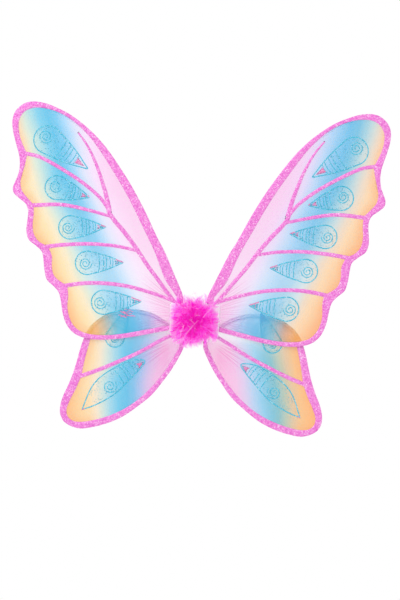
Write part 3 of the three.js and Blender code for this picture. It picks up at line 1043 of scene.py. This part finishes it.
def make_casing(side_name, level, looks):
    """A narrow strip of fabric bent round the wire's leg and sewn to itself in front."""
    node = f"{side_name}_{level}_casing"
    low, high = box_mm(node)
    middle = (low[0] + high[0]) / 2
    radius, outer, inner = 1.82, 0.4, 0.34  # of the strip's middle, and its half thicknesses
    pivot = high[1] - (high[0] - low[0]) / 2
    neck = pivot - 2.9
    past = 0.62  # how far past a half turn the strip wraps, in radians
    turns = np.linspace(-past, math.pi + past, 17)
    legs = [(0.5, low[1]), (0.48, (low[1] + neck) / 2), (0.62, neck), (1.3, pivot - 1.9)]
    bend = [(radius * math.cos(a), pivot + radius * math.sin(a)) for a in turns]
    path = resample([*legs, *bend, *((-x, y) for x, y in reversed(legs))], 0.45)
    outward = -left_of(path)
    outline = np.vstack([path + outward * outer, (path - outward * inner)[::-1]])
    rings = []
    for z in np.linspace(low[2], high[2], 9):
        sway = 0.1 * math.sin(1.7 * z)
        rings.append([(middle + x + sway * (y < neck), y, z) for x, y in outline])
    batch = Batch()
    batch.tube(np.array(rings))
    for z in np.arange(low[2] + 0.6, high[2] - STITCH["length"], STITCH["pitch"]):
        for sign in (-1, 1):
            x, y = middle + sign * 0.98, neck - 0.2
            add_stitch(batch, (x, y, z), (x, y, z + STITCH["length"]))
    piece = batch.build(f"{side_name}_{level}_loop_binding", looks["satin"], looks["white_thread"])
    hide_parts(node)
    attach(piece, "centre")


# Elastic arm loops

def strap_rings(line, x, half_width, thickness):
    """Sections of ribbed elastic along a path in y and z."""
    u = np.linspace(-1, 1, 37)
    half = 0.5 * thickness * np.sqrt(np.clip(1 - np.abs(u) ** 14, 0, 1))
    half = half * (0.9 + 0.1 * np.cos(2 * math.pi * 7.5 * u))
    across = np.concatenate([u, u[-2:0:-1]])
    offset = np.concatenate([half, -half[-2:0:-1]])
    return np.array([
        [(x + half_width * a, *(p + n * o)) for a, o in zip(across, offset)]
        for p, n in zip(line, left_of(line))
    ])


def make_strap(side_name, looks):
    """One arm loop: two sewn-in ends, and the free loop between them."""
    loop_node = f"{side_name}_strap_loop"
    low, high = box_mm(loop_node)
    x, half_width = (low[0] + high[0]) / 2, (high[0] - low[0]) / 2
    outline = cap_loops(loop_node, 0)[0]
    tails = {end: box_mm(f"{side_name}_strap_{end}_tail") for end in ("top", "bottom")}
    top_low, top_high = tails["top"]
    thickness = top_high[1] - top_low[1]
    y = (top_low[1] + top_high[1]) / 2
    near = np.linalg.norm(outline - [y, top_high[2] + 0.3], axis=1) < thickness
    first = np.flatnonzero(near & ~np.roll(near, 1))[0]
    rolled = np.roll(outline, -first - 1, 0)
    n = len(rolled) // 2
    line = (rolled[:n] + rolled[::-1][:n]) / 2
    if line[0, 1] < line[-1, 1]:
        line = line[::-1]
    line = resample(line, 1.4)
    tail = 15.9  # the length of a sewn-in end
    twist_from, twist = 22.8, 7.0  # twist: how far past the tail the free loop starts
    first = int(np.argmax(line[:, 1] > top_high[2] + twist))
    last = int(len(line) - np.argmax(line[::-1, 1] < -top_high[2] - twist))
    body = f"{side_name}_strap"
    middle = Batch()
    middle.tube(strap_rings(line[first - 1:last + 1], x, half_width, thickness))
    free = middle.build(f"{side_name}_strap_webbing", looks["elastic"])
    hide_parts(loop_node)
    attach(free, body)
    for end, sign in (("top", 1), ("bottom", -1)):
        inner, outer = sorted(abs(corner[2]) for corner in tails[end])
        sewn = np.array([(y, sign * (inner + t)) for t in np.arange(0, tail, 1.4)])
        if end == "top":
            path = np.vstack([sewn, line[:first + 1]])
        else:
            path = np.vstack([line[last - 1:], sewn[::-1]])
        batch = Batch()
        batch.tube(strap_rings(resample(path, 1.2), x, half_width, thickness))
        piece = batch.build(f"{side_name}_strap_{end}_end", looks["elastic"])
        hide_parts(f"{side_name}_strap_{end}_tail")
        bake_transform(piece)


# Marabou puff

def make_puff(looks):
    """Short feathers set all round a core: each has a shaft and soft barbs in small locks."""
    rng = np.random.default_rng(SEEDS["feathers"])
    low, high = box_mm("marabou_puff")
    root = np.array([(low[0] + high[0]) / 2, high[1] - 2.0, (low[2] + high[2]) / 2])
    half = np.array([(high[0] - low[0]) / 2, high[1] - low[1], (high[2] - low[2]) / 2])
    feathers, barbs, locks = 150, 120, 15
    lock = np.repeat(np.arange(locks), barbs // locks)
    shafts = Batch()
    strands, tips, tones = [], [], []
    for _ in range(feathers):
        turn = rng.uniform(0, 2 * math.pi)
        lean = math.acos(rng.uniform(-0.05, 1))
        flat = math.sin(lean)
        toward = np.array([flat * math.cos(turn), -math.cos(lean), flat * math.sin(turn)])
        square = squareness(turn, flat)
        reach = square / np.linalg.norm(toward / half)
        start = root + np.array([1, 0.15, 1]) * rng.normal(0, 4.0, 3)
        start[1] = min(start[1], root[1])
        length = reach * rng.uniform(0.6, 0.8)
        droop = rng.normal(0, 0.16, 3) + np.array([0, 0, -0.1])
        t = np.linspace(0, 1, 9)[:, None]
        add_shaft(shafts, start + length * (toward * t + droop * t * t), 0.3, 0.075, 4)
        s = rng.uniform(0.1, 1, locks)[lock] + rng.normal(0, 0.035, barbs)
        place = start + length * (toward * s[:, None] + droop * s[:, None] ** 2)
        along = unit(toward + 2 * droop * s[:, None])
        plane = unit(np.cross(along, rng.normal(0, 1, 3)))
        sign = rng.choice([-1, 1], locks)[lock][:, None]
        aside = unit(plane * sign + scatter(rng, lock, 0.45, 0.13))
        size = (rng.uniform(0.24, 0.5, barbs) * (1.1 - 0.35 * s) * reach)[:, None]
        out = rng.uniform(0.5, 1.0, locks)[lock][:, None]
        heading = unit(aside * out + along * rng.uniform(0.3, 0.9, locks)[lock][:, None])
        curl = (along * 0.45 + scatter(rng, lock, 0.2, 0.06)) * size
        steps = np.linspace(0, 1, 6)[None, :, None]
        strand = place[:, None] + heading[:, None] * size[:, None] * steps + curl[:, None] * steps ** 2
        strand = keep_in(strand, root, half * [1.06, 0.98, 1.06], high[1] - 0.4)
        strands.append(strand)
        # Paler away from the puff's axis and along each barb to its tip; the darker tone inward and at
        # the roots is partly painted shade.
        off_axis = np.linalg.norm(((strand - root) / half)[..., [0, 2]], axis=2)
        tips.append(0.75 * np.clip(off_axis, 0, 1.1) ** 1.5 + 0.35 * steps[..., 0])
        tone = rng.uniform(0, 1) * 0.3 + rng.beta(0.6, 0.9, locks)[lock] * 0.72
        tones.append(np.clip(tone, 0, 1))
    quills = shafts.build("marabou_quills", looks["quill"])
    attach(quills, "centre")
    grown = [np.concatenate(parts) for parts in (strands, tips, tones)]
    add_stray_quills(root, half, looks)
    clumps = 3
    for k in range(clumps):
        make_down(f"marabou_down_{k + 1}", *(part[k::clumps] for part in grown), looks)


def squareness(turn, flat=1.0):
    """How far the puff reaches at a turn about its axis: furthest towards its corners."""
    return 1.02 - 0.07 * np.cos(4 * turn) * flat


def scatter(rng, lock, among, within):
    """A random lean for each barb: most of it shared by its lock, a little its own."""
    shared = rng.normal(0, among, (lock.max() + 1, 3))[lock]
    return shared + rng.normal(0, within, (len(lock), 3))


def keep_in(strand, root, half, back):
    """Draws strands in where they would leave the puff's outline or pass its flat back."""
    offset = strand - root
    square = squareness(np.arctan2(offset[..., 2], offset[..., 0]))
    share = np.maximum(np.linalg.norm(offset / half, axis=2) / square, 1e-6)
    limit = np.where(share > 1, (1 + 0.1 * np.tanh(3 * (share - 1))) / share, 1)
    held = root + offset * limit[..., None]
    held[..., 1] = np.minimum(held[..., 1], back)
    return held


def strand_rings(strands, thick, sides):
    """Rings round many paths at once: strands x steps x sides x 3."""
    along = unit(np.gradient(strands, axis=1))
    across = unit(np.cross(along, np.array([0.31, 0.17, 0.93])))
    up = np.cross(across, along)
    turns = np.arange(sides) * 2 * math.pi / sides
    circle = np.cos(turns)[:, None] * across[:, :, None]
    circle = circle + np.sin(turns)[:, None] * up[:, :, None]
    return strands[:, :, None] + circle * thick[None, :, None, None]


def make_down(name, strands, tips, tones, looks):
    """One piece of down: a thin tapered thread for each strand."""
    count, steps = strands.shape[:2]
    sides = 3
    thick = 0.15 * (1 - 0.8 * np.linspace(0, 1, steps))
    rings = strand_rings(strands, thick, sides)
    first = (np.arange(count) * steps * sides)[:, None, None]
    ends = np.array([[2, 1, 0], [(steps - 1) * sides + k for k in range(sides)]])
    faces = (ring_faces(steps, sides) + first).reshape(-1, 4).tolist()
    faces += (ends + first).reshape(-1, 3).tolist()
    values = {
        "tip": np.repeat(tips.reshape(-1), sides), "feather": np.repeat(tones, steps * sides),
    }
    piece = mesh_object(name, rings.reshape(-1, 3), faces, looks["down"], values)
    if name.endswith("_1"):
        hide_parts("marabou_puff")
    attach(piece, "centre")


def add_shaft(batch, path, thick, thin, sides):
    """A tapered quill along a path."""
    taper = np.linspace(thick, thin, len(path))
    batch.tube(strand_rings(path[None], taper, sides)[0])


STRAY_QUILLS = [
    [(-18.5, -48, -31), (-10.5, -55, -19), (-1.5, -57.5, -7.5), (6, -57, 0.5)],
    [(13, -54, 5), (20, -53, 14.5), (27.5, -45, 20)],
    [(-15, -53, -8), (-20, -49, -21), (-18.5, -38, -38)],
]


def add_stray_quills(root, half, looks):
    """Pale shafts that lie on the outside of the puff: a few long ones, many short ones."""
    rng = np.random.default_rng(SEEDS["quills"])
    batch = Batch()
    for _ in range(110):
        facing = unit(rng.normal(0, 1, 3) * [1, 0.5, 1] - [0, 0.8, 0])
        start = root + facing / np.linalg.norm(facing / half) * rng.uniform(1.04, 1.12)
        heading = unit(np.cross(facing, rng.normal(0, 1, 3)) + facing * 0.25)
        reach = heading * rng.uniform(3.5, 8)
        bend = unit(rng.normal(0, 1, 3)) * 0.7
        shaft = resample([start - reach / 2, start + bend, start + reach / 2], 1.2)
        shaft[:, 1] = np.clip(shaft[:, 1], root[1] - half[1] - 6, root[1])
        add_shaft(batch, shaft, 0.2, 0.1, 4)
    for path in STRAY_QUILLS:
        add_shaft(batch, resample(path, 2.0), 0.3, 0.14, 6)
    piece = batch.build("marabou_stray_quills", looks["quill"])
    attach(piece, "centre")


# CAD nodes that stay

def finish_node(name, material, rounds=0, bevel=0.0):
    """A carried-over CAD node: welded and rounded by modifiers, with its own material."""
    piece = nodes[name]
    piece.data.materials.clear()
    piece.data.materials.append(material)
    weld = piece.modifiers.new("weld", "WELD")
    weld.merge_threshold = 0.01 * MM
    if bevel:
        edge = piece.modifiers.new("bevel", "BEVEL")
        edge.width = bevel * MM
        edge.segments = 3
        edge.limit_method = "ANGLE"
        edge.angle_limit = math.radians(40)
    if rounds:
        smooth = piece.modifiers.new("round", "SUBSURF")
        smooth.levels = smooth.render_levels = rounds
        piece.data.shade_smooth()


def dress_nodes(looks):
    finish_node("centre_card", looks["card"], bevel=0.3)
    finish_node("marabou_core", looks["felt"], bevel=0.5)
    for side_name in SIDES:
        for level in ("upper", "lower"):
            finish_node(f"{side_name}_{level}_wire", looks["wire"], rounds=1)
            finish_node(f"{side_name}_{level}_ferrule", looks["crimp"], bevel=0.12)


# Stage

def add_stage():
    """A pale floor far below, a white room and two soft lamps."""
    radius, height, thickness = 2600.0, -1000.0, 20.0
    floor = Batch()
    turns = np.linspace(0, 2 * math.pi, 65)[:-1]
    floor.tube(np.array([
        [(radius * math.cos(a), radius * math.sin(a), z) for a in turns]
        for z in (height, height - thickness)
    ]))
    g = Graph("pale_floor", Roughness=0.9)
    tint = g.noise(g.place(), 0.004, 2.0)
    g.set("Base Color", g.mix(tint, "F4F4F4", "FBFBFB"))
    floor.build("floor", g.material)

    world = bpy.data.worlds.new("white_room")
    world.use_nodes = True
    background = world.node_tree.nodes["Background"]
    background.inputs[0].default_value = (1, 1, 1, 1)
    background.inputs[1].default_value = 1.0
    bpy.context.scene.world = world
    for name, place, size, power in (
        ("key_lamp", (-1.4, -2.2, 1.8), 1.4, 22),
        ("back_lamp", (1.2, 2.0, 1.4), 1.4, 10),
    ):
        lamp = bpy.data.lights.new(name, "AREA")
        lamp.size, lamp.energy = size, power
        holder = bpy.data.objects.new(name, lamp)
        holder.location = place
        holder.rotation_euler = (-Vector(place)).to_track_quat("-Z", "Y").to_euler()
        bpy.context.scene.collection.objects.link(holder)
    bpy.context.scene.view_settings.view_transform = "Standard"


add_camera()
add_stage()
looks = make_materials()
make_wings(looks)
make_pad("satin_panel", "front_panel", looks, seam=3.0, crown=0.4, flat_back=False)
make_pad("satin_back_pad", "back_pad", looks, seam=2.6, crown=0.0, flat_back=True)
for side_name in SIDES:
    make_strap(side_name, looks)
    for level in ("upper", "lower"):
        make_casing(side_name, level, looks)
make_puff(looks)
dress_nodes(looks)
